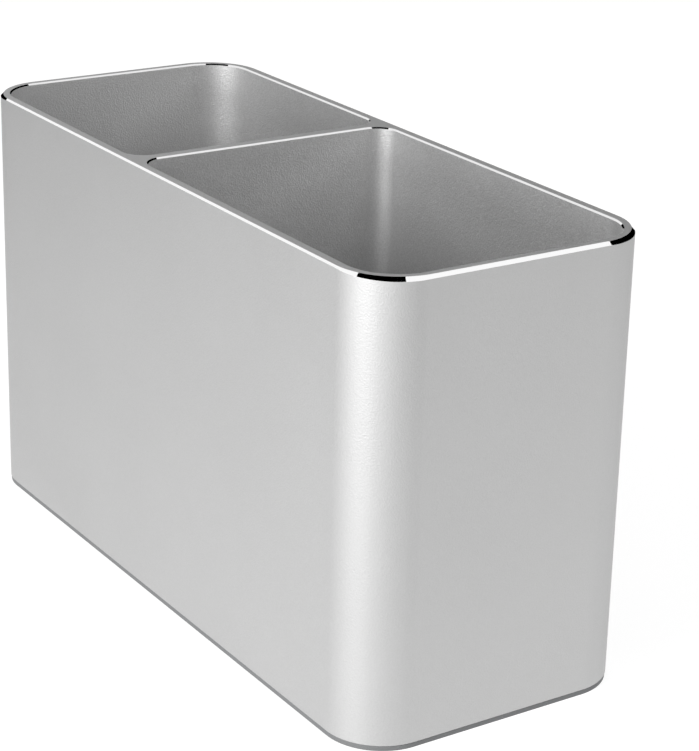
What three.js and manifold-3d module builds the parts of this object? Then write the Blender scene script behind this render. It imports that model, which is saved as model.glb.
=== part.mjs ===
// Pen holder: a two-cell aluminium body with a screwed base plate and a non-slip pad.
// Millimetres, +Z up, X along the long side. The origin is the middle of the footprint,
// on the surface that the holder stands on.
import * as THREE from 'three';
import { mergeVertices } from 'three/addons/utils/BufferGeometryUtils.js';
import Module from 'manifold-3d';

const wasm = await Module();
wasm.setup();

// Outside of the holder, pad included
const LENGTH = 175;
const WIDTH = 70;
const HEIGHT = 102;
const CORNER_RADIUS = 13.2;

// Section of the body: one wall all round, and a divider that makes a small and a large cell
const WALL = 2.6;
const DIVIDER = 3;
const DIVIDER_X = -11.7;
const JUNCTION_RADIUS = 5;

// Bright-cut 45-degree chamfers: outside along the long sides and at the ends, and round the cells
const SIDE_CHAMFER = 0.43;
const END_CHAMFER = 0.74;
const CELL_CHAMFER = 0.36;

// Base plate, let flush into the lower end of the body behind a thin lip
const PLATE_THICKNESS = 2;
const PLATE_CLEARANCE = 0.15;
const LIP = 1.4;

// Countersunk machine screws that hold the plate under the ends of the divider
const SCREW_DIAMETER = 2.5;
const SCREW_CORE = 2.1;
const SCREW_LENGTH = 8;
const SCREW_TIP = 0.4;
const HEAD_DIAMETER = 4.7;
const HEAD_RIM = 0.25;
const HEAD_SINK = 0.1;
const HEAD_CLEARANCE = 0.15;
const SOCKET_WIDTH = 1.5;
const SOCKET_DEPTH = 0.9;
const SCREW_EDGE = 3.5;
const TAP_RUNOUT = 1.5;

// Non-slip pad and the adhesive film that holds it
const PAD_THICKNESS = 1.1;
const PAD_INSET = 0.15;
const FILM_THICKNESS = 0.15;
const FILM_INSET = 0.4;

// Die-cut liners on the floor of the cells
const LINER_THICKNESS = 1.5;
const LINER_CLEARANCE = 0.4;

// Fineness of the curves: a corner has twice CORNER_STEPS facets
const CORNER_STEPS = 8;
const SCREW_STEPS = 24;

// Levels, from the desk up
const bodyFoot = PAD_THICKNESS + FILM_THICKNESS;
const bodyHeight = HEIGHT - bodyFoot;
const cellFloor = bodyFoot + PLATE_THICKNESS;

// Places along X and Y
const innerEnd = LENGTH / 2 - WALL;
const innerWidth = WIDTH - 2 * WALL;
const innerRadius = CORNER_RADIUS - WALL;
const plateInset = LIP + PLATE_CLEARANCE;
const screwY = WIDTH / 2 - plateInset - SCREW_EDGE;

// A closed mesh as a solid that can be cut and joined
function solidFrom(geometry) {
  geometry.deleteAttribute('normal');
  geometry.deleteAttribute('uv');
  const merged = mergeVertices(geometry);
  const corners = [];
  for (let i = 0; i < merged.index.count; i += 3) {
    const [a, b, c] = [0, 1, 2].map((k) => merged.index.getX(i + k));
    if (a !== b && b !== c && c !== a) {
      corners.push(a, b, c);
    }
  }
  return new wasm.Manifold(new wasm.Mesh({
    numProp: 3,
    vertProperties: merged.attributes.position.array,
    triVerts: Uint32Array.from(corners),
  }));
}

function meshFrom(name, solid, material) {
  const { vertProperties, triVerts } = solid.getMesh();
  const geometry = new THREE.BufferGeometry();
  geometry.setAttribute('position', new THREE.BufferAttribute(vertProperties, 3));
  geometry.setIndex(new THREE.BufferAttribute(triVerts, 1));
  geometry.computeVertexNormals();
  const mesh = new THREE.Mesh(geometry, material);
  mesh.name = name;
  return mesh;
}

// Outline from x0 to x1 across the given width, with corner radius r0 at x0 and r1 at x1
function outline(x0, x1, width, r0, r1) {
  const y = width / 2;
  const shape = new THREE.Shape();
  shape.absarc(x1 - r1, y - r1, r1, 0, Math.PI / 2);
  shape.absarc(x0 + r0, y - r0, r0, Math.PI / 2, Math.PI);
  shape.absarc(x0 + r0, r0 - y, r0, Math.PI, Math.PI * 1.5);
  shape.absarc(x1 - r1, r1 - y, r1, Math.PI * 1.5, Math.PI * 2);
  return shape;
}

// The outside outline, drawn in by an inset
function footprint(inset) {
  const end = LENGTH / 2 - inset;
  const radius = CORNER_RADIUS - inset;
  return outline(-end, end, WIDTH - 2 * inset, radius, radius);
}

// The inside of each cell: the outer corners follow the wall, and the corners at the
// divider have the junction radius
function smallCell(inset) {
  const x0 = inset - innerEnd;
  const x1 = DIVIDER_X - DIVIDER / 2 - inset;
  return outline(x0, x1, innerWidth - 2 * inset, innerRadius - inset, JUNCTION_RADIUS - inset);
}

function largeCell(inset) {
  const x0 = DIVIDER_X + DIVIDER / 2 + inset;
  const x1 = innerEnd - inset;
  return outline(x0, x1, innerWidth - 2 * inset, JUNCTION_RADIUS - inset, innerRadius - inset);
}

function prism(shape, z0, z1) {
  const geometry = new THREE.ExtrudeGeometry(shape, {
    depth: z1 - z0,
    bevelEnabled: false,
    curveSegments: CORNER_STEPS,
  });
  return solidFrom(geometry.translate(0, 0, z0));
}

// The cutter's form at the rim: an outline at the given top, with the corner radius of the body,
// that widens downwards at 45 degrees until it is clear of the walls
function rimForm(top) {
  const end = LENGTH / 2 - END_CHAMFER;
  const rim = outline(-end, end, WIDTH - 2 * SIDE_CHAMFER, CORNER_RADIUS, CORNER_RADIUS);
  const flare = 2 * END_CHAMFER;
  const form = new THREE.ExtrudeGeometry(rim, {
    depth: top,
    bevelThickness: flare,
    bevelSize: flare,
    bevelSegments: 1,
    curveSegments: CORNER_STEPS,
  });
  return solidFrom(form.translate(0, 0, -flare));
}

// The cut for a cell: a straight shaft from below 0 and a mouth that widens at the rim
function cellCut(shape, top, chamfer) {
  const flare = 2 * chamfer;
  const mouth = new THREE.ExtrudeGeometry(shape, {
    depth: chamfer,
    bevelThickness: flare,
    bevelSize: flare,
    bevelSegments: 1,
    curveSegments: CORNER_STEPS,
  });
  mouth.translate(0, 0, top - chamfer + flare);
  return prism(shape, -chamfer, top).add(solidFrom(mouth));
}

// A round body about Z from [radius, height] pairs that start and end on the axis
function turned(profile) {
  const points = profile.map(([radius, height]) => new THREE.Vector2(radius, height));
  const geometry = new THREE.LatheGeometry(points, SCREW_STEPS);
  return solidFrom(geometry.rotateX(Math.PI / 2));
}

// Profile of a countersunk screw, grown all round by a clearance. The head's flat side is
// at 0 on the screw, its cone is a right angle, and foot is where the profile starts.
function countersunkProfile(clearance, foot) {
  const head = HEAD_DIAMETER / 2 + clearance;
  const shank = SCREW_CORE / 2 + clearance;
  return [
    [0, foot],
    [head, foot],
    [head, HEAD_RIM],
    [shank, HEAD_RIM + head - shank],
    [shank, SCREW_LENGTH - SCREW_TIP],
    [shank - SCREW_TIP, SCREW_LENGTH],
    [0, SCREW_LENGTH],
  ];
}

function metal(color, roughness) {
  return new THREE.MeshStandardMaterial({ color, roughness, metalness: 1 });
}

function dull(color, roughness) {
  return new THREE.MeshStandardMaterial({ color, roughness, metalness: 0 });
}

// Two-cell body, with the rebate for the plate and a tapped hole under each divider end
function makeBody() {
  let body = prism(footprint(0), 0, bodyHeight).intersect(rimForm(bodyHeight));
  for (const cell of [smallCell(0), largeCell(0)]) {
    body = body.subtract(cellCut(cell, bodyHeight, CELL_CHAMFER));
  }
  body = body.subtract(prism(footprint(LIP), -LIP, PLATE_THICKNESS));

  const tapRadius = SCREW_DIAMETER / 2;
  const tapDepth = SCREW_LENGTH + TAP_RUNOUT;
  const tap = turned([
    [0, 0],
    [tapRadius, 0],
    [tapRadius, tapDepth],
    [0, tapDepth + tapRadius / 2],
  ]);
  for (const side of [-1, 1]) {
    body = body.subtract(tap.translate([DIVIDER_X, side * screwY, 0]));
  }
  const mesh = meshFrom('body', body, metal(0xb4b5b7, 0.42));
  mesh.position.z = bodyFoot;
  return mesh;
}

function makeBasePlate() {
  let plate = prism(footprint(plateInset), 0, PLATE_THICKNESS);
  const hole = turned(countersunkProfile(HEAD_CLEARANCE, -PLATE_THICKNESS));
  for (const side of [-1, 1]) {
    plate = plate.subtract(hole.translate([DIVIDER_X, side * screwY, HEAD_SINK]));
  }
  const mesh = meshFrom('base_plate', plate, metal(0xaeb0b3, 0.38));
  mesh.position.z = bodyFoot;
  return mesh;
}

function makeScrew(name, side) {
  const socket = new THREE.CylinderGeometry(
    SOCKET_WIDTH / Math.sqrt(3), SOCKET_WIDTH / Math.sqrt(3), 2 * SOCKET_DEPTH, 6);
  const screw = turned(countersunkProfile(0, 0))
    .subtract(solidFrom(socket.rotateX(Math.PI / 2)));
  const mesh = meshFrom(name, screw, metal(0x8d8f92, 0.3));
  mesh.position.set(DIVIDER_X, side * screwY, bodyFoot + HEAD_SINK);
  return mesh;
}

function makeLiner(name, cell) {
  const mesh = meshFrom(name, prism(cell(LINER_CLEARANCE), 0, LINER_THICKNESS), dull(0x3a3b3d, 0.9));
  mesh.position.z = cellFloor;
  return mesh;
}

function makePad() {
  return meshFrom('non_slip_pad', prism(footprint(PAD_INSET), 0, PAD_THICKNESS), dull(0x7b7d7f, 0.8));
}

function makeFilm() {
  const mesh = meshFrom('pad_adhesive', prism(footprint(FILM_INSET), 0, FILM_THICKNESS), dull(0x9a9c9e, 0.6));
  mesh.position.z = PAD_THICKNESS;
  return mesh;
}

const penHolder = new THREE.Group();
penHolder.add(
  makeBody(),
  makeBasePlate(),
  makeScrew('screw_front', -1),
  makeScrew('screw_rear', 1),
  makeLiner('small_cell_liner', smallCell),
  makeLiner('large_cell_liner', largeCell),
  makeFilm(),
  makePad(),
);

export default penHolder;
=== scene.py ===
"""A two-cell aluminium pen holder, finished and lit as for a studio photograph.

Lengths are metres. X runs along the long side, Y away from the front long wall, and Z up from
the desk. A turn is an angle in degrees round Z, from the front (-Y) towards +X.
"""
import math
from collections import namedtuple

import bmesh
import bpy
from mathutils import Matrix, Vector
from mathutils.geometry import tessellate_polygon


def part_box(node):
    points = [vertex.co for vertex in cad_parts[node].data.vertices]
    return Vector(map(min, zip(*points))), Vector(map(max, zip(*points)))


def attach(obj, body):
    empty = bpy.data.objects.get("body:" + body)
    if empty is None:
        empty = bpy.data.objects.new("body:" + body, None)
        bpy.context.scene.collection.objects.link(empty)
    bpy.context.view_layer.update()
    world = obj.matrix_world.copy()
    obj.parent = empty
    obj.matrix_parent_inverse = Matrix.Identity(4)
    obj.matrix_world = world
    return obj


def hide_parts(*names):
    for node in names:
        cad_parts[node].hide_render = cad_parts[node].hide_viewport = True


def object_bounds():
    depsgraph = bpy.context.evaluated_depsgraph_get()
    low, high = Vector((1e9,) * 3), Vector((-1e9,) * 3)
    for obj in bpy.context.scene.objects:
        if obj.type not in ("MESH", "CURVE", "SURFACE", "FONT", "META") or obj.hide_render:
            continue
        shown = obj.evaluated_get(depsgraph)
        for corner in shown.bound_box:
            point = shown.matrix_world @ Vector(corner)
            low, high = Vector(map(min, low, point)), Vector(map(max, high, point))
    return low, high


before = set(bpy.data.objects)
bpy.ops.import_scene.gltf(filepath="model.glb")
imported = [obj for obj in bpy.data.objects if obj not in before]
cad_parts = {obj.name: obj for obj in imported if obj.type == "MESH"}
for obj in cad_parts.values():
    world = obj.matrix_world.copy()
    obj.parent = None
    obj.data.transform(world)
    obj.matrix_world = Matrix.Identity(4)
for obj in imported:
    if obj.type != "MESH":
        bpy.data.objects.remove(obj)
cad_low, cad_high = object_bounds()

MM = 0.001

# Body section: what the boxes of the frame's nodes don't give
CORNER_RADIUS = 13.2 * MM
WALL = 2.6 * MM
JUNCTION_RADIUS = 5 * MM
SIDE_CHAMFER = 0.43 * MM
END_CHAMFER = 0.74 * MM
CELL_CHAMFER = 0.36 * MM
LIP = 1.4 * MM
LINER_CLEARANCE = 0.4 * MM

# Softened edges, and the narrow lands beside them that keep the flats flat. A rounding reaches at
# most EDGE_SHARE of the way along a strip, and points closer than SAME_POINT are one point.
EDGE_RADIUS = 0.04 * MM
SHEET_EDGE_RADIUS = 0.2 * MM
FILM_EDGE_RADIUS = 0.03 * MM
EDGE_LAND = 0.02 * MM
SIDE_LAND = 1 * MM
RIM_LAND = 0.2 * MM
SAME_POINT = EDGE_LAND / 100
EDGE_SHARE = 0.4
CORNER_STEPS = 24
EDGE_STEPS = 3
SHARP_ANGLE = math.radians(40)

# Screws and their holes
SCREW_STEPS = 10
TAP_RADIUS = 1.25 * MM
TAP_RUNOUT = 1.5 * MM
HEAD_RIM = 0.25 * MM
HEAD_CLEARANCE = 0.15 * MM
SHANK_RADIUS = 1.05 * MM
TIP_CHAMFER = SHANK_RADIUS / 3
THREAD_RADIUS = 1.2 * MM
THREAD_PITCH = 0.45 * MM
ROWS_PER_TURN = 6
SOCKET_WIDTH = 1.5 * MM
SOCKET_DEPTH = 0.9 * MM

# The body's finishes, in the order of its materials
BLASTED, CELL_BLASTED_PAINTED_LIGHT, BRIGHT_CUT, CELL_CUT_PAINTED_SHADE = range(4)


# Outlines and solids

Outline = namedtuple("Outline", "x0 x1 y0 y1 r0 r1")


def outline_of(node, r0, r1, clearance=0.0):
    """A node's outline, grown by a clearance to corner radius r0 at low X and r1 at high X."""
    low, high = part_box(node)
    return grown(Outline(low.x, high.x, low.y, high.y, r0 - clearance, r1 - clearance), clearance)


def circle(x, y, radius):
    return Outline(x - radius, x + radius, y - radius, y + radius, radius, radius)


def grown(outline, by):
    x0, x1, y0, y1, r0, r1 = outline
    return Outline(x0 - by, x1 + by, y0 - by, y1 + by, r0 + by, r1 + by)


def points_on(outline, z, steps):
    """The outline's points at height z, counter-clockwise, with this many steps to a corner.

    A corner's first and last steps are lands on the straight sides, where there are such sides,
    and take up to a third of a side each.
    """
    x0, x1, y0, y1, r0, r1 = outline
    corners = (
        (x1 - r1, y1 - r1, r1), (x0 + r0, y1 - r0, r0),
        (x0 + r0, y0 + r0, r0), (x1 - r1, y0 + r1, r1),
    )
    straight = min(x1 - x0 - r0 - r1, y1 - y0 - 2 * max(r0, r1))
    land = min(SIDE_LAND, max(0.0, straight / 3))
    points = []
    for quarter, (x, y, radius) in enumerate(corners):
        for step in range(-1, steps + 2):
            turned = min(max(step / steps, 0), 1)
            angle = math.pi / 2 * (quarter + turned)
            along = land * (step - turned * steps)
            point = Vector((
                x + radius * math.cos(angle) - along * math.sin(angle),
                y + radius * math.sin(angle) + along * math.cos(angle),
                z,
            ))
            if not points or (point - points[-1]).length > SAME_POINT:
                points.append(point)
    if (points[0] - points[-1]).length < SAME_POINT:
        points.pop()
    return points


def softened(profile, radius):
    """A wall profile with its corners rounded, and with a land on each side of a rounding.

    The profile is a list of (growth, height, finish), where finish is that of the strip which
    ends at the point. Of the finishes beside it, a rounding has the one that is listed first, so
    it is blasted beside a bright cut.
    """
    stations = [profile[0]]
    for before, here, after in zip(profile, profile[1:], profile[2:]):
        finish, next_finish = here[2], after[2]
        corner = Vector(here[:2])
        back = Vector(before[:2]) - corner
        ahead = Vector(after[:2]) - corner
        half_angle = back.angle(ahead) / 2
        reach = min(
            radius / math.tan(half_angle),
            EDGE_SHARE * back.length,
            EDGE_SHARE * ahead.length,
        )
        back.normalize()
        ahead.normalize()
        edge_finish = min(finish, next_finish)
        stations.append((*(corner + back * (reach + EDGE_LAND)), finish))
        for step in range(EDGE_STEPS + 1):
            share = step / EDGE_STEPS
            point = corner + back * reach * (1 - share) ** 2 + ahead * reach * share ** 2
            stations.append((*point, edge_finish if step else finish))
        stations.append((*(corner + ahead * (reach + EDGE_LAND)), next_finish))
    stations.append(profile[-1])
    return stations


def rim_cut(point, rim):
    """Which way the rim's chamfer faces at a point of the outside outline, and its leg there."""
    radius = rim.r1
    centre = Vector((
        min(max(point.x, rim.x0 + radius), rim.x1 - radius),
        min(max(point.y, rim.y0 + radius), rim.y1 - radius),
    ))
    reach = point.xy - centre
    return reach.normalized(), reach.length - radius


class Solid:
    """A closed mesh, built from rings of points, walls between them and caps that close it."""

    def __init__(self, name):
        self.name = name
        self.mesh = bmesh.new()

    def ring(self, points):
        return [self.mesh.verts.new(point) for point in points]

    def wall(self, lower, upper, finish=0):
        for i, vertex in enumerate(lower):
            face = self.mesh.faces.new((lower[i - 1], vertex, upper[i], upper[i - 1]))
            face.material_index = finish

    def sweep(self, outline, profile, steps=CORNER_STEPS):
        """Carries an outline along a profile of (growth, height, finish). Gives the end rings."""
        growth, height, _ = profile[0]
        first = last = self.ring(points_on(grown(outline, growth), height, steps))
        for growth, height, finish in profile[1:]:
            ring = self.ring(points_on(grown(outline, growth), height, steps))
            self.wall(last, ring, finish)
            last = ring
        return first, last

    def sweep_rim(self, last, outside, rim, top):
        """Carries the ring of the outside outline on over the chamfer and onto the flat at top.

        The chamfer is a 45-degree cut along the rim's outline, so its leg changes round a corner.
        """
        points = points_on(outside, top, CORNER_STEPS)
        cuts = [rim_cut(point, rim) for point in points]
        profiles = [softened([
            (0, last[0].co.z, BLASTED),
            (0, top - leg, BLASTED),
            (-leg, top, BRIGHT_CUT),
            (-leg - RIM_LAND, top, BLASTED),
        ], EDGE_RADIUS) for _, leg in cuts]
        for station in list(zip(*profiles))[1:]:
            ring = self.ring([
                Vector((point.x + outward.x * growth, point.y + outward.y * growth, height))
                for point, (outward, _), (growth, height, _) in zip(points, cuts, station)
            ])
            self.wall(last, ring, station[0][2])
            last = ring
        return last

    def cap(self, outer, holes=()):
        """Closes a ring with a flat, apart from the holes."""
        rings = [outer, *holes]
        vertices = [vertex for ring in rings for vertex in ring]
        for corners in tessellate_polygon([[vertex.co for vertex in ring] for ring in rings]):
            self.mesh.faces.new([vertices[i] for i in corners])

    def finish(self, slot, replaced, *materials):
        """Shades the mesh and sets it on the frame in place of the CAD node."""
        bmesh.ops.recalc_face_normals(self.mesh, faces=self.mesh.faces)
        for face in self.mesh.faces:
            face.smooth = True
        for edge in self.mesh.edges:
            edge.smooth = edge.calc_face_angle(0) < SHARP_ANGLE
        data = bpy.data.meshes.new(self.name)
        self.mesh.to_mesh(data)
        self.mesh.free()
        for material in materials:
            data.materials.append(material)
        piece = bpy.data.objects.new(self.name, data)
        bpy.context.scene.collection.objects.link(piece)
        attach(piece, "root")
        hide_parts(replaced)


# Pieces

def screw_places():
    """Each screw's node, and the middle of its box."""
    for node in ("screw_front", "screw_rear"):
        low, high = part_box(node)
        yield node, (low + high) / 2


def make_body(*finishes):
    """The two-cell section, with its rim, its rebate for the plate and its tapped holes."""
    low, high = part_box("body")
    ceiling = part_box("base_plate")[1].z
    outside = outline_of("body", CORNER_RADIUS, CORNER_RADIUS)
    cell_radius = CORNER_RADIUS - WALL
    cells = (
        outline_of("small_cell_liner", cell_radius, JUNCTION_RADIUS, LINER_CLEARANCE),
        outline_of("large_cell_liner", JUNCTION_RADIUS, cell_radius, LINER_CLEARANCE),
    )
    rim_outline = Outline(
        outside.x0 + END_CHAMFER, outside.x1 - END_CHAMFER,
        outside.y0 + SIDE_CHAMFER, outside.y1 - SIDE_CHAMFER, CORNER_RADIUS, CORNER_RADIUS,
    )
    shell = Solid("two_cell_body")
    plate_seat, wall_top = shell.sweep(outside, softened([
        (-LIP, ceiling, BLASTED),
        (-LIP, low.z, BLASTED),
        (0, low.z, BLASTED),
        (0, high.z - 2 * END_CHAMFER, BLASTED),
    ], EDGE_RADIUS))
    rim = shell.sweep_rim(wall_top, outside, rim_outline, high.z)

    mouths, feet = [], []
    for cell in cells:
        mouth, foot = shell.sweep(cell, softened([
            (CELL_CHAMFER + RIM_LAND, high.z, BLASTED),
            (CELL_CHAMFER, high.z, BLASTED),
            # The cell chamfers take the darker copy of the bright cut: painted shade
            (0, high.z - CELL_CHAMFER, CELL_CUT_PAINTED_SHADE),
            # The cell walls take the lighter copy of the aluminium: painted light inside the cells
            (0, ceiling, CELL_BLASTED_PAINTED_LIGHT),
        ], EDGE_RADIUS))
        mouths.append(mouth)
        feet.append(foot)
    shell.cap(rim, mouths)

    taps = []
    for node, middle in screw_places():
        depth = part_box(node)[1].z + TAP_RUNOUT
        tap = circle(middle.x, middle.y, TAP_RADIUS)
        mouth, bottom = shell.sweep(tap, [(0, ceiling, 0), (0, depth, 0)], SCREW_STEPS)
        shell.cap(bottom)
        taps.append(mouth)
    shell.cap(plate_seat, [*feet, *taps])
    shell.finish("body_aluminium", "body", *finishes)


def sheet_edge(node, radius):
    """The softened edge of a flat sheet, as a profile from its underside to its top."""
    low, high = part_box(node)
    return softened([
        (-2 * radius, low.z, 0),
        (0, low.z, 0),
        (0, high.z, 0),
        (-2 * radius, high.z, 0),
    ], radius)


def make_base_plate(material):
    """The plate in the body's rebate, with a countersunk hole for each screw."""
    low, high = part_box("base_plate")
    outline = outline_of("base_plate", CORNER_RADIUS - LIP, CORNER_RADIUS - LIP)
    plate = Solid("floor_plate")
    under, over = plate.sweep(outline, sheet_edge("base_plate", SHEET_EDGE_RADIUS))
    holes_under, holes_over = [], []
    for node, middle in screw_places():
        head_radius = (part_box(node)[1].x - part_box(node)[0].x) / 2
        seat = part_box(node)[0].z + HEAD_RIM
        cone = head_radius - SHANK_RADIUS
        hole = circle(middle.x, middle.y, head_radius + HEAD_CLEARANCE)
        mouth, neck = plate.sweep(hole, [
            (0, low.z, 0),
            (0, seat, 0),
            (-cone, seat + cone, 0),
            (-cone, high.z, 0),
        ], SCREW_STEPS)
        holes_under.append(mouth)
        holes_over.append(neck)
    plate.cap(under, holes_under)
    plate.cap(over, holes_over)
    plate.finish("plate_aluminium", "base_plate", material)


def make_sheet(name, node, outline, edge, slot, material):
    """A flat sheet with softened edges, such as a liner or the pad."""
    sheet = Solid(name)
    for end in sheet.sweep(outline, sheet_edge(node, edge)):
        sheet.cap(end)
    sheet.finish(slot, node, material)


def make_liners(material):
    cell_radius = CORNER_RADIUS - WALL - LINER_CLEARANCE
    junction = JUNCTION_RADIUS - LINER_CLEARANCE
    for name, node, r0, r1 in (
        ("small_floor_liner", "small_cell_liner", cell_radius, junction),
        ("large_floor_liner", "large_cell_liner", junction, cell_radius),
    ):
        outline = outline_of(node, r0, r1)
        make_sheet(name, node, outline, SHEET_EDGE_RADIUS, "liner_rubber", material)


def make_underlay(name, node, edge, slot, material):
    """The pad or its film, whose corners are concentric with those of the body."""
    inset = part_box(node)[0].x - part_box("body")[0].x
    outline = outline_of(node, CORNER_RADIUS - inset, CORNER_RADIUS - inset)
    make_sheet(name, node, outline, edge, slot, material)


def threaded_rings(solid, x, y, z0, z1):
    """Carries rings up a screw thread, which fades at both ends. Gives the end rings."""
    around = len(points_on(circle(x, y, SHANK_RADIUS), z0, SCREW_STEPS))
    rows = math.ceil((z1 - z0) / THREAD_PITCH * ROWS_PER_TURN)
    last = first = None
    for row in range(rows + 1):
        z = z0 + (z1 - z0) * row / rows
        fade = min(1, row / ROWS_PER_TURN, (rows - row) / ROWS_PER_TURN)
        points = []
        for i in range(around):
            angle = 2 * math.pi * i / around
            phase = ((z - z0) / THREAD_PITCH - i / around) % 1
            crest = 1 - abs(2 * phase - 1)
            radius = SHANK_RADIUS + (THREAD_RADIUS - SHANK_RADIUS) * crest * fade
            points.append(Vector((x + radius * math.cos(angle), y + radius * math.sin(angle), z)))
        ring = solid.ring(points)
        if last:
            solid.wall(last, ring)
        first = first or ring
        last = ring
    return first, last


def hexagon(x, y, width, z):
    """The corners of a hexagon with that width across its flats."""
    radius = width / math.sqrt(3)
    turns = [math.radians(60 * corner) for corner in range(6)]
    return [Vector((x + radius * math.cos(a), y + radius * math.sin(a), z)) for a in turns]


def make_screw(node, middle, material):
    """A countersunk machine screw with its head down, a thread and a hexagon socket."""
    low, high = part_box(node)
    x, y = middle.x, middle.y
    head_radius = (high.x - low.x) / 2
    cone = head_radius - SHANK_RADIUS
    neck = low.z + HEAD_RIM + cone
    tip = high.z - TIP_CHAMFER
    screw = Solid(node + "_steel")

    face, collar = screw.sweep(circle(x, y, head_radius), [
        (0, low.z, 0),
        (0, low.z + HEAD_RIM, 0),
        (-cone, neck, 0),
    ], SCREW_STEPS)
    start, end = threaded_rings(screw, x, y, neck + THREAD_PITCH, tip)
    screw.wall(collar, start)
    point = screw.ring(points_on(circle(x, y, SHANK_RADIUS - TIP_CHAMFER), high.z, SCREW_STEPS))
    screw.wall(end, point)
    screw.cap(point)

    socket_mouth = screw.ring(hexagon(x, y, SOCKET_WIDTH, low.z))
    socket_floor = screw.ring(hexagon(x, y, SOCKET_WIDTH, low.z + SOCKET_DEPTH))
    screw.wall(socket_mouth, socket_floor)
    screw.cap(socket_floor)
    screw.cap(face, [socket_mouth])
    screw.finish("screw_steel", node, material)


# Shared surface effects

# Noise over the blasted dimples: scales as shares of theirs, and the strength of the coarse one
FINE_SCALE = 1.1
COARSE_SCALE = 0.35
COARSE_SHARE = 0.4
# How fast drawn lines change along X, as a share of their change across it
LINE_STRETCH = 0.02


def new_group(name, inputs, outputs):
    """A shader group with those sockets, and its input and output nodes."""
    group = bpy.data.node_groups.new(name, "ShaderNodeTree")
    for label, kind, default in inputs:
        group.interface.new_socket(label, in_out="INPUT", socket_type=kind).default_value = default
    for label, kind in outputs:
        group.interface.new_socket(label, in_out="OUTPUT", socket_type=kind)
    source = group.nodes.new("NodeGroupInput")
    result = group.nodes.new("NodeGroupOutput")
    return group, source, result


def add(tree, kind, settings=None, **inputs):
    """A node with its settings, and its inputs linked to an output or set to a value.

    An input is named with _ for each space, or numbered, as _0.
    """
    node = tree.nodes.new(kind)
    for name, value in (settings or {}).items():
        setattr(node, name, value)
    for name, value in inputs.items():
        key = int(name[1:]) if name[0] == "_" else name.replace("_", " ")
        socket = node.inputs[key]
        if isinstance(value, bpy.types.NodeSocket):
            tree.links.new(value, socket)
        else:
            socket.default_value = value
    return node


def noise(tree, place, scale, detail, roughness=0.5):
    return add(tree, "ShaderNodeTexNoise", Vector=place, Scale=scale, Detail=detail,
               Roughness=roughness).outputs["Fac"]


def math_node(tree, operation, a, b):
    return add(tree, "ShaderNodeMath", {"operation": operation}, _0=a, _1=b).outputs[0]


def remap(tree, value, low, high):
    """Stretches a value from 0..1 to low..high."""
    node = add(tree, "ShaderNodeMapRange", Value=value, To_Min=low, To_Max=high)
    return node.outputs["Result"]


def blasted_grain_group():
    """Overlapping shallow dimples, as glass beads leave them, and a speckle of their size."""
    group, source, result = new_group(
        "blasted_grain",
        [("Grains per metre", "NodeSocketFloat", 5000.0)],
        [("Height", "NodeSocketFloat"), ("Speckle", "NodeSocketFloat")],
    )
    place = add(group, "ShaderNodeTexCoord").outputs["Object"]
    scale = source.outputs["Grains per metre"]
    smooth = {"feature": "SMOOTH_F1"}
    dimples = add(group, "ShaderNodeTexVoronoi", smooth, Vector=place, Scale=scale)
    fine = noise(group, place, math_node(group, "MULTIPLY", scale, FINE_SCALE), detail=2.0)
    coarse = noise(group, place, math_node(group, "MULTIPLY", scale, COARSE_SCALE), detail=1.0)
    rough = math_node(group, "ADD", fine, math_node(group, "MULTIPLY", coarse, COARSE_SHARE))
    height = math_node(group, "ADD", dimples.outputs["Distance"], rough)
    group.links.new(height, result.inputs["Height"])
    group.links.new(fine, result.inputs["Speckle"])
    return group


def mottle_group():
    """Broad, soft unevenness, as of a surface that has been handled and wiped."""
    group, source, result = new_group(
        "mottle",
        [("Patches per metre", "NodeSocketFloat", 30.0)],
        [("Mask", "NodeSocketFloat")],
    )
    place = add(group, "ShaderNodeTexCoord").outputs["Object"]
    scale = source.outputs["Patches per metre"]
    patches = noise(group, place, scale, detail=3.0, roughness=0.6)
    group.links.new(patches, result.inputs["Mask"])
    return group


def drawn_lines_group():
    """Fine straight lines along X, as rolled sheet has."""
    group, source, result = new_group(
        "drawn_lines",
        [("Lines per metre", "NodeSocketFloat", 4000.0)],
        [("Height", "NodeSocketFloat")],
    )
    place = add(group, "ShaderNodeTexCoord").outputs["Object"]
    along_x = (LINE_STRETCH, 1.0, 1.0)
    stretched = add(group, "ShaderNodeMapping", Vector=place, Scale=along_x).outputs[0]
    lines = noise(group, stretched, source.outputs["Lines per metre"], detail=3.0)
    group.links.new(lines, result.inputs["Height"])
    return group


# Finishes

ALUMINIUM = (0.53, 0.53, 0.53)
# The cells' aluminium is a lighter copy of the outside aluminium: painted light, brightening cells
# that the lamps leave darker
CELL_ALUMINIUM_PAINTED_LIGHTER = (0.605, 0.605, 0.605)
BRIGHT_ALUMINIUM = (0.96, 0.96, 0.96)
# The cell chamfers' cut is a darker copy of the bright cut: painted shade on the inner chamfers
CELL_CUT_ALUMINIUM_PAINTED_DARKER = (0.84, 0.84, 0.84)
MILL_ALUMINIUM = (0.56, 0.565, 0.57)
STAINLESS_STEEL = (0.5, 0.5, 0.51)
FOAM_BLACK = (0.04, 0.042, 0.045)
SILICONE_GREY = (0.2, 0.204, 0.208)
FILM_GREY = (0.32, 0.33, 0.34)
OUTSIDE_GRAIN = 0.025 * MM
CELL_GRAIN = 0.045 * MM
OUTSIDE_SPREAD = 0.1
CELL_SPREAD = 0.35
SPECKLE_SHARE = 0.7


def new_finish(name, colour, **sockets):
    """A material with its Principled shader, whose colour and other sockets are set."""
    material = bpy.data.materials.new(name)
    material.use_nodes = True
    shader = material.node_tree.nodes["Principled BSDF"]
    shader.inputs["Base Color"].default_value = (*colour, 1.0)
    for socket, value in sockets.items():
        shader.inputs[socket.replace("_", " ")].default_value = value
    return material, material.node_tree, shader


def use_group(tree, group, **inputs):
    return add(tree, "ShaderNodeGroup", {"node_tree": group}, **inputs).outputs


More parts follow.
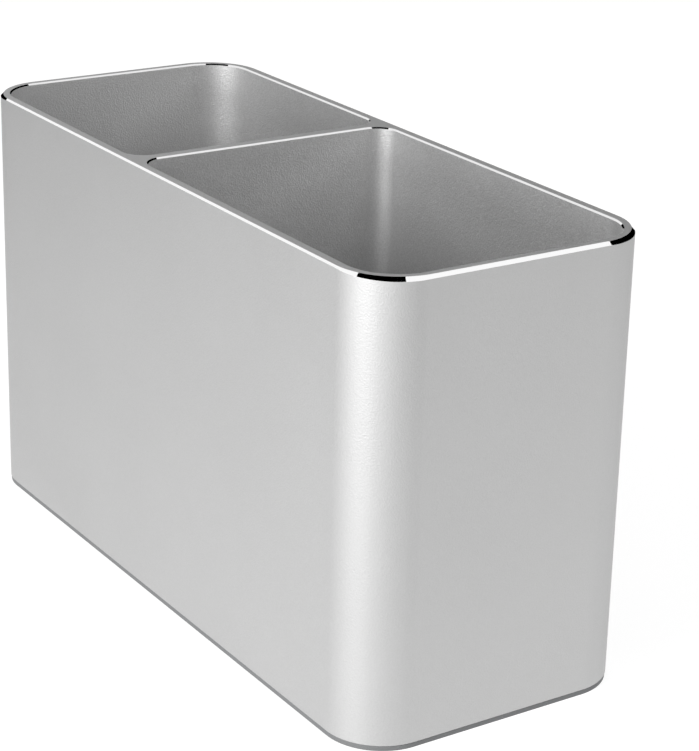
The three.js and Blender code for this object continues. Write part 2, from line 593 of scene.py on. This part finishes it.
def vary(tree, shader, mask, colour, spread, roughness, roughness_spread):
    """Lets a mask move the colour and the roughness a little each way."""
    dark = tuple(c * (1 - spread) for c in colour)
    light = tuple(min(1.0, c * (1 + spread)) for c in colour)
    # The colours of a mix are its inputs 6 and 7 and its output 2
    mix = add(tree, "ShaderNodeMix", {"data_type": "RGBA"}, _0=mask, _6=(*dark, 1), _7=(*light, 1))
    tree.links.new(mix.outputs[2], shader.inputs["Base Color"])
    rough = remap(tree, mask, roughness - roughness_spread, roughness + roughness_spread)
    tree.links.new(rough, shader.inputs["Roughness"])


def raise_grain(tree, shader, height, depth):
    bump = add(tree, "ShaderNodeBump", Height=height, Distance=depth)
    tree.links.new(bump.outputs["Normal"], shader.inputs["Normal"])


def blasted_finish(name, colour, depth, spread, grain, mottle):
    """Bead-blasted metal with dimples of that depth, whose colour varies by that share."""
    material, tree, shader = new_finish(name, colour, Metallic=1.0)
    dimples = use_group(tree, grain, Grains_per_metre=2900.0)
    patches = use_group(tree, mottle, Patches_per_metre=28.0)["Mask"]
    speckle = math_node(tree, "MULTIPLY", dimples["Speckle"], SPECKLE_SHARE)
    rest = math_node(tree, "MULTIPLY", patches, 1 - SPECKLE_SHARE)
    mask = math_node(tree, "ADD", speckle, rest)
    vary(tree, shader, mask, colour, spread, roughness=0.58, roughness_spread=0.04)
    raise_grain(tree, shader, dimples["Height"], depth)
    return material


def bright_cut_finish(name, colour, lines):
    """Metal cut to a mirror by a fine tool."""
    material, tree, shader = new_finish(name, colour, Metallic=1.0)
    feed = use_group(tree, lines, Lines_per_metre=9000.0)["Height"]
    vary(tree, shader, feed, colour, spread=0.02, roughness=0.03, roughness_spread=0.01)
    raise_grain(tree, shader, feed, depth=0.0006 * MM)
    return material


def sheet_metal_finish(lines, mottle):
    material, tree, shader = new_finish("mill_sheet", MILL_ALUMINIUM, Metallic=1.0)
    patches = use_group(tree, mottle, Patches_per_metre=40.0)["Mask"]
    rolled = use_group(tree, lines, Lines_per_metre=5000.0)["Height"]
    vary(tree, shader, patches, MILL_ALUMINIUM, spread=0.05, roughness=0.36, roughness_spread=0.06)
    raise_grain(tree, shader, rolled, depth=0.004 * MM)
    return material


def steel_finish(lines):
    material, tree, shader = new_finish("screw_stainless", STAINLESS_STEEL, Metallic=1.0)
    turned = use_group(tree, lines, Lines_per_metre=12000.0)["Height"]
    vary(tree, shader, turned, STAINLESS_STEEL, spread=0.05, roughness=0.28, roughness_spread=0.05)
    raise_grain(tree, shader, turned, depth=0.003 * MM)
    return material


def foam_finish(grain, mottle):
    material, tree, shader = new_finish("foam_rubber", FOAM_BLACK)
    cells = use_group(tree, grain, Grains_per_metre=2200.0)
    patches = use_group(tree, mottle, Patches_per_metre=60.0)["Mask"]
    both = math_node(tree, "ADD", cells["Speckle"], patches)
    mask = math_node(tree, "MULTIPLY", both, 0.5)
    vary(tree, shader, mask, FOAM_BLACK, spread=0.35, roughness=0.86, roughness_spread=0.08)
    raise_grain(tree, shader, cells["Height"], depth=0.09 * MM)
    return material


def silicone_finish(grain, mottle):
    material, tree, shader = new_finish("grey_silicone", SILICONE_GREY)
    texture = use_group(tree, grain, Grains_per_metre=3500.0)
    patches = use_group(tree, mottle, Patches_per_metre=45.0)["Mask"]
    vary(tree, shader, patches, SILICONE_GREY, spread=0.12, roughness=0.62, roughness_spread=0.08)
    raise_grain(tree, shader, texture["Height"], depth=0.02 * MM)
    return material


def film_finish(mottle):
    material, tree, shader = new_finish("adhesive_film", FILM_GREY)
    patches = use_group(tree, mottle, Patches_per_metre=200.0)["Mask"]
    vary(tree, shader, patches, FILM_GREY, spread=0.1, roughness=0.5, roughness_spread=0.1)
    raise_grain(tree, shader, patches, depth=0.01 * MM)
    return material


# Camera, fitted to the photograph in pixels of its long side. It looks at the middle of the
# holder from a turn and a lift, and is then moved aside and raised.

PICTURE_LONG_SIDE = 751
SENSOR = 36.0
FOCAL_LENGTH_PIXELS = 2315.6
SHIFT_PIXELS = -40
CAMERA_TURN = 56.57
CAMERA_LIFT = 19.841
CAMERA_ROLL = 1.46
CAMERA_DISTANCE = 537.62 * MM
CAMERA_ASIDE = 14.685 * MM
CAMERA_RAISED = 6.873 * MM
NEAREST_SEEN = 0.01


def direction(turn, lift):
    """The unit vector at a turn, and at a lift in degrees above the horizon."""
    turn, lift = math.radians(turn), math.radians(lift)
    level = math.cos(lift)
    return Vector((math.sin(turn) * level, -math.cos(turn) * level, math.sin(lift)))


def make_camera():
    """The camera of the photograph, which looks down on the front and the right-hand end."""
    back = direction(CAMERA_TURN, CAMERA_LIFT)
    level = direction(CAMERA_TURN + 90, 0)
    roll = Matrix.Rotation(math.radians(CAMERA_ROLL), 3, back)
    right = roll @ level
    up = roll @ back.cross(level)
    lens = bpy.data.cameras.new("camera")
    lens.sensor_width = SENSOR
    lens.lens = FOCAL_LENGTH_PIXELS * SENSOR / PICTURE_LONG_SIDE
    lens.shift_y = SHIFT_PIXELS / PICTURE_LONG_SIDE
    lens.clip_start = NEAREST_SEEN
    camera = bpy.data.objects.new("camera", lens)
    axes = Matrix((right, up, back)).transposed().to_4x4()
    middle = Vector((0, 0, cad_high.z / 2))
    place = middle + back * CAMERA_DISTANCE + right * CAMERA_ASIDE + up * CAMERA_RAISED
    camera.matrix_world = Matrix.Translation(place) @ axes
    bpy.context.scene.collection.objects.link(camera)
    bpy.context.scene.camera = camera


# Studio

# The floor lights the holder by its own white, and its lift is only for what is seen of it
FLOOR_SIZE = 2.2
FLOOR_WHITE = (0.34, 0.34, 0.34)
FLOOR_LIFT = 0.77
ROOM_WHITE = 1.0
ROOM_FILL = 0.5
LAMP_DISTANCE = 1.2
OVERHEAD_HEIGHT = 1.3
OVERHEAD_CORNERS = (
    (-0.365, -0.83), (0.05, -0.75), (0.35, -0.5), (0.6, -0.2), (0.6, 0.02), (0.52, 0.02),
    (0.45, 0.3), (0.36, 0.3), (0.32, 0.02), (0.15, 0.02), (-0.365, -0.48),
)


def softbox(name, turn, lift, width, height, level):
    """A rectangular lamp that faces the holder and is as bright as level, where 1 is white."""
    lamp = bpy.data.lights.new(name, "AREA")
    lamp.shape = "RECTANGLE"
    lamp.size = width
    lamp.size_y = height
    lamp.energy = level * math.pi * width * height
    box = bpy.data.objects.new(name, lamp)
    back = direction(turn, lift)
    box.location = back * LAMP_DISTANCE + Vector((0, 0, cad_high.z / 2))
    box.rotation_euler = back.to_track_quat("Z", "Y").to_euler()
    bpy.context.scene.collection.objects.link(box)


def rectangle(width, height):
    """The corners of a rectangle about the origin."""
    x, y = width / 2, height / 2
    return (-x, -y), (x, -y), (x, y), (-x, y)


def flat_sheet(name, corners):
    sheet = bmesh.new()
    sheet.faces.new([sheet.verts.new((x, y, 0)) for x, y in corners])
    data = bpy.data.meshes.new(name)
    sheet.to_mesh(data)
    sheet.free()
    return bpy.data.objects.new(name, data)


def seen_directly(tree):
    """1 for what the camera, a reflection or clear glass shows, and 0 for light on a surface."""
    path = add(tree, "ShaderNodeLightPath").outputs
    shown = math_node(tree, "MAXIMUM", path["Is Glossy Ray"], path["Is Transmission Ray"])
    return math_node(tree, "MAXIMUM", path["Is Camera Ray"], shown)


def matt_finish(name, colour):
    return new_finish(name, colour, Roughness=1.0, Specular_IOR_Level=0.0)


def make_floor():
    """A white floor that keeps the holder's shadow."""
    floor = flat_sheet("studio_floor", rectangle(FLOOR_SIZE, FLOOR_SIZE))
    material, tree, shader = matt_finish("floor_white", FLOOR_WHITE)
    shader.inputs["Emission Color"].default_value = (1, 1, 1, 1)
    lift = math_node(tree, "MULTIPLY", seen_directly(tree), FLOOR_LIFT)
    tree.links.new(lift, shader.inputs["Emission Strength"])
    floor.data.materials.append(material)
    bpy.context.scene.collection.objects.link(floor)


def black_card(name, corners, place, tilt=0, spin=0):
    """A card that only reflections show, tilted from level about X and then spun about Z."""
    card = flat_sheet(name, corners)
    card.data.materials.append(matt_finish(name, (0, 0, 0))[0])
    card.visible_camera = False
    card.visible_diffuse = False
    card.visible_shadow = False
    card.location = place
    card.rotation_euler = (math.radians(tilt), 0, math.radians(spin))
    bpy.context.scene.collection.objects.link(card)


def standing_card(name, turn, distance, width, height, foot=0.0):
    """An upright black card that faces the holder, with its foot at that height."""
    place = direction(turn, 0) * distance + Vector((0, 0, foot + height / 2))
    black_card(name, rectangle(width, height), place, tilt=90, spin=turn)


def make_room():
    """A white room, whose fill light on surfaces is weaker than it looks."""
    world = bpy.data.worlds.new("studio_room")
    world.use_nodes = True
    tree = world.node_tree
    tree.nodes.clear()
    level = remap(tree, seen_directly(tree), ROOM_FILL, ROOM_WHITE)
    background = add(tree, "ShaderNodeBackground", Color=(1, 1, 1, 1), Strength=level)
    add(tree, "ShaderNodeOutputWorld", Surface=background.outputs[0])
    bpy.context.scene.world = world


make_camera()
make_room()
make_floor()
softbox("strip_softbox", turn=14, lift=29, width=0.15, height=0.6, level=31)
softbox("low_softbox", turn=14, lift=6, width=0.15, height=0.15, level=52)
softbox("key_softbox", turn=17, lift=23, width=0.4, height=0.4, level=2.5)
softbox("side_softbox", turn=105, lift=40, width=0.4, height=0.4, level=5)
softbox("rear_softbox", turn=140, lift=30, width=0.4, height=0.4, level=5)
black_card("overhead_card", OVERHEAD_CORNERS, (0, 0, OVERHEAD_HEIGHT))
standing_card("back_card", turn=200, distance=1.1, width=2.2, height=1.7)
standing_card("left_card", turn=-110, distance=0.9, width=0.35, height=0.44)
standing_card("long_side_card", turn=-60, distance=0.5, width=0.8, height=0.27)
standing_card("flank_card", turn=90, distance=0.5, width=0.3, height=0.28)
standing_card("short_side_card", turn=118, distance=0.3, width=0.5, height=0.16, foot=0.11)

grain = blasted_grain_group()
mottle = mottle_group()
lines = drawn_lines_group()
make_body(
    blasted_finish("blasted_anodised", ALUMINIUM, OUTSIDE_GRAIN, OUTSIDE_SPREAD, grain, mottle),
    # Cell walls: coarser grain, and the lighter colour copy, which is painted light inside the
    # cells
    blasted_finish("cell_blasted_painted_light", CELL_ALUMINIUM_PAINTED_LIGHTER, CELL_GRAIN, CELL_SPREAD, grain, mottle),
    bright_cut_finish("bright_cut", BRIGHT_ALUMINIUM, lines),
    # Cell chamfers: the same bright cut in a darker colour, which is painted shade
    bright_cut_finish("cell_cut_painted_shade", CELL_CUT_ALUMINIUM_PAINTED_DARKER, lines),
)
make_base_plate(sheet_metal_finish(lines, mottle))
steel = steel_finish(lines)
for node, middle in screw_places():
    make_screw(node, middle, steel)
make_liners(foam_finish(grain, mottle))
make_underlay("silicone_pad", "non_slip_pad", SHEET_EDGE_RADIUS, "pad_rubber",
              silicone_finish(grain, mottle))
make_underlay("pad_film", "pad_adhesive", FILM_EDGE_RADIUS, "adhesive_film", film_finish(mottle))

bpy.context.scene.view_settings.view_transform = "Standard"
